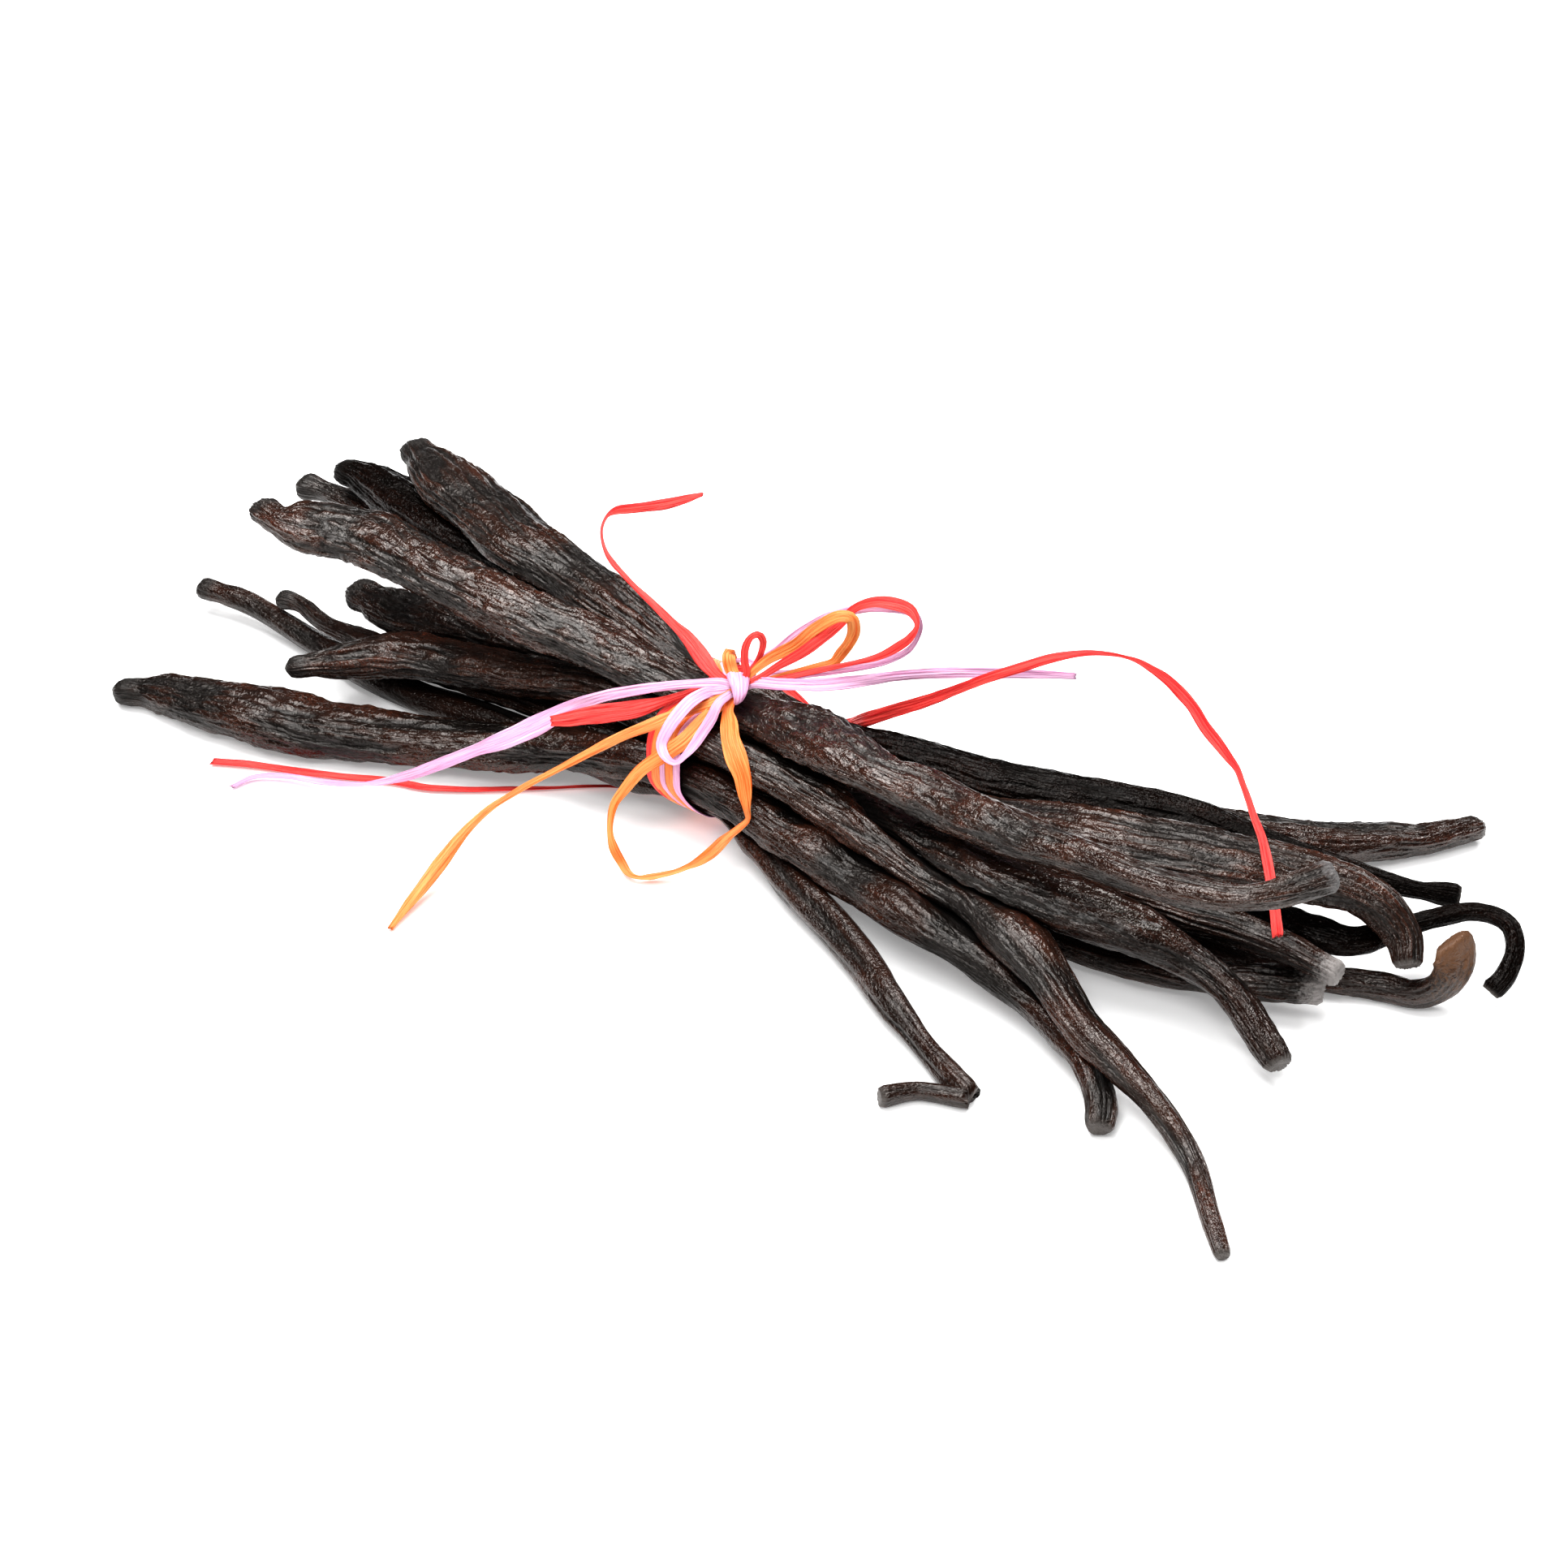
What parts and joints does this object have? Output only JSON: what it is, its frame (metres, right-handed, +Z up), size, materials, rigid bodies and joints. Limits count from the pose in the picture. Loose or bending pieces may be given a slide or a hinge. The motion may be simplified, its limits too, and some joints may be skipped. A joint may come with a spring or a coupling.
{
  "type": "bundle of vanilla pods",
  "caption": "Cured vanilla pods tied round the waist with paper raffia, both ends spread out in a fan, raffia tails and loops free.",
  "frame": {"origin": "on the table, under the middle of the box round the pods", "axes": "+X along the bundle from the blossom ends to the stem ends, +Y across it towards the pods at the back, +Z up"},
  "size_m": [0.1895, 0.0965, 0.0332],
  "materials": {
    "pod": "oily, wrinkled, dark brown to black",
    "raffia_red": "pleated, half gloss",
    "raffia_orange": "pleated, half gloss",
    "raffia_pink": "pleated, half gloss"
  },
  "bodies": {
    "root": {"pod_front_wide": "pod", "pod_front_tail": "pod", "pod_low_blade": "pod", "pod_low_dark": "pod", "pod_mid_curved": "pod", "pod_top": "pod", "pod_back_floor": "pod", "pod_back_black": "pod", "pod_back_ridged": "pod", "pod_hook": "pod", "pod_curl": "pod", "pod_mid_red": "pod", "band_red": "raffia_red", "band_orange_left": "raffia_orange", "band_pink_left": "raffia_pink", "band_orange_right": "raffia_orange", "band_pink_right": "raffia_pink", "knot": "raffia_pink", "tail_pink_left": "raffia_pink", "tail_red_left": "raffia_red", "tail_orange_left": "raffia_orange", "tail_red_back": "raffia_red", "tail_pink_right": "raffia_pink", "tail_red_arch": "raffia_red", "tail_red_floor": "raffia_red", "loop_orange_front": "raffia_orange", "loop_pink_front": "raffia_pink", "loop_orange_right": "raffia_orange", "loop_red_right": "raffia_red", "loop_pink_right": "raffia_pink", "loop_red_small": "raffia_red"}
  },
  "joints": []
}
